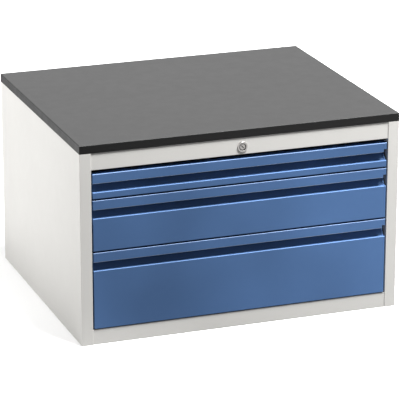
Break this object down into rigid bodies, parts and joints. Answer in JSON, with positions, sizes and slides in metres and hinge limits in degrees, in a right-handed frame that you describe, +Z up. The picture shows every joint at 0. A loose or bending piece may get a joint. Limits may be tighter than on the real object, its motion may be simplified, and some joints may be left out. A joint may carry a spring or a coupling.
{
  "type": "multi-drawer cabinet",
  "caption": "Low steel cabinet with sliding drawers of rising height, full-width folded grips, a central cylinder lock and a dark worktop.",
  "frame": {"origin": "middle of the footprint, on the floor", "axes": "+Z up, the drawers face -Y, +X to the right of someone facing the drawers"},
  "size_m": [0.75, 0.6226, 0.46],
  "materials": {
    "case_paint": "light grey powder coat, fine texture",
    "drawer_paint": "blue powder coat, satin",
    "tray_paint": "light grey powder coat, satin",
    "worktop_board": "black satin laminate",
    "worktop_edging": "black edging, satin",
    "runner_steel": "zinc plated",
    "ball_steel": "polished bearing steel",
    "fastener_steel": "zinc plated",
    "lock_chrome": "nickel plated",
    "lock_steel": "zinc plated"
  },
  "bodies": {
    "case": {"back_panel": "case_paint", "back_panel_screws": "fastener_steel", "bar_guides": "lock_steel", "bottom_left_cabinet_rail": "runner_steel", "bottom_right_cabinet_rail": "runner_steel", "floor_panel": "case_paint", "front_bottom_rail": "case_paint", "front_top_rail": "case_paint", "left_front_post": "runner_steel", "left_rear_post": "runner_steel", "left_side_panel": "case_paint", "lock_housing": "lock_chrome", "lock_nut": "lock_steel", "middle_left_cabinet_rail": "runner_steel", "middle_right_cabinet_rail": "runner_steel", "right_front_post": "runner_steel", "right_rear_post": "runner_steel", "right_side_panel": "case_paint", "runner_screws": "fastener_steel", "shaft_bearing": "lock_steel", "top_deck": "case_paint", "top_left_cabinet_rail": "runner_steel", "top_right_cabinet_rail": "runner_steel", "worktop_board": "worktop_board", "worktop_edging": "worktop_edging", "worktop_screws": "fastener_steel"},
    "top_drawer": {"top_drawer_front": "drawer_paint", "top_drawer_tray": "tray_paint", "top_drawer_rivets": "fastener_steel", "top_drawer_catch": "lock_steel", "top_left_drawer_rail": "runner_steel", "top_right_drawer_rail": "runner_steel"},
    "top_middle_rails": {"top_left_middle_rail": "runner_steel", "top_right_middle_rail": "runner_steel"},
    "top_outer_cages": {"top_outer_ball_cages": "ball_steel"},
    "top_inner_cages": {"top_inner_ball_cages": "ball_steel"},
    "middle_drawer": {"middle_drawer_front": "drawer_paint", "middle_drawer_tray": "tray_paint", "middle_drawer_rivets": "fastener_steel", "middle_drawer_catch": "lock_steel", "middle_left_drawer_rail": "runner_steel", "middle_right_drawer_rail": "runner_steel"},
    "middle_middle_rails": {"middle_left_middle_rail": "runner_steel", "middle_right_middle_rail": "runner_steel"},
    "middle_outer_cages": {"middle_outer_ball_cages": "ball_steel"},
    "middle_inner_cages": {"middle_inner_ball_cages": "ball_steel"},
    "bottom_drawer": {"bottom_drawer_front": "drawer_paint", "bottom_drawer_tray": "tray_paint", "bottom_drawer_rivets": "fastener_steel", "bottom_drawer_catch": "lock_steel", "bottom_left_drawer_rail": "runner_steel", "bottom_right_drawer_rail": "runner_steel"},
    "bottom_middle_rails": {"bottom_left_middle_rail": "runner_steel", "bottom_right_middle_rail": "runner_steel"},
    "bottom_outer_cages": {"bottom_outer_ball_cages": "ball_steel"},
    "bottom_inner_cages": {"bottom_inner_ball_cages": "ball_steel"},
    "lock": {"lock_plug": "lock_chrome", "lock_shaft": "lock_steel", "lock_crank": "lock_steel"},
    "locking_bar": {"locking_bar": "lock_steel"}
  },
  "joints": [
    {"name": "top_drawer_slide", "type": "slide", "parent": "case", "child": "top_drawer", "axis": [0, -1, 0], "range_m": [0, 0.48]},
    {"name": "top_middle_rails_slide", "type": "slide", "parent": "case", "child": "top_middle_rails", "axis": [0, -1, 0], "range_m": [0, 0.24]},
    {"name": "top_outer_cages_slide", "type": "slide", "parent": "case", "child": "top_outer_cages", "axis": [0, -1, 0], "range_m": [0, 0.12]},
    {"name": "top_inner_cages_slide", "type": "slide", "parent": "case", "child": "top_inner_cages", "axis": [0, -1, 0], "range_m": [0, 0.36]},
    {"name": "middle_drawer_slide", "type": "slide", "parent": "case", "child": "middle_drawer", "axis": [0, -1, 0], "range_m": [0, 0.48]},
    {"name": "middle_middle_rails_slide", "type": "slide", "parent": "case", "child": "middle_middle_rails", "axis": [0, -1, 0], "range_m": [0, 0.24]},
    {"name": "middle_outer_cages_slide", "type": "slide", "parent": "case", "child": "middle_outer_cages", "axis": [0, -1, 0], "range_m": [0, 0.12]},
    {"name": "middle_inner_cages_slide", "type": "slide", "parent": "case", "child": "middle_inner_cages", "axis": [0, -1, 0], "range_m": [0, 0.36]},
    {"name": "bottom_drawer_slide", "type": "slide", "parent": "case", "child": "bottom_drawer", "axis": [0, -1, 0], "range_m": [0, 0.48]},
    {"name": "bottom_middle_rails_slide", "type": "slide", "parent": "case", "child": "bottom_middle_rails", "axis": [0, -1, 0], "range_m": [0, 0.24]},
    {"name": "bottom_outer_cages_slide", "type": "slide", "parent": "case", "child": "bottom_outer_cages", "axis": [0, -1, 0], "range_m": [0, 0.12]},
    {"name": "bottom_inner_cages_slide", "type": "slide", "parent": "case", "child": "bottom_inner_cages", "axis": [0, -1, 0], "range_m": [0, 0.36]},
    {"name": "locking_bar_lift", "type": "slide", "parent": "case", "child": "locking_bar", "axis": [0, 0, 1], "range_m": [0, 0.01414]},
    {"name": "lock_turn", "type": "hinge", "parent": "case", "child": "lock", "pos_m": [0, -0.3088, 0.4195], "axis": [0, 1, 0], "range_deg": [0, 90]}
  ],
  "couplings": [
    {"joint": "top_middle_rails_slide", "follows": "top_drawer_slide", "ratio": 0.5},
    {"joint": "top_outer_cages_slide", "follows": "top_drawer_slide", "ratio": 0.25},
    {"joint": "top_inner_cages_slide", "follows": "top_drawer_slide", "ratio": 0.75},
    {"joint": "middle_middle_rails_slide", "follows": "middle_drawer_slide", "ratio": 0.5},
    {"joint": "middle_outer_cages_slide", "follows": "middle_drawer_slide", "ratio": 0.25},
    {"joint": "middle_inner_cages_slide", "follows": "middle_drawer_slide", "ratio": 0.75},
    {"joint": "bottom_middle_rails_slide", "follows": "bottom_drawer_slide", "ratio": 0.5},
    {"joint": "bottom_outer_cages_slide", "follows": "bottom_drawer_slide", "ratio": 0.25},
    {"joint": "bottom_inner_cages_slide", "follows": "bottom_drawer_slide", "ratio": 0.75},
    {"joint": "lock_turn", "follows": "locking_bar_lift", "rad_per_m": 111.07}
  ]
}
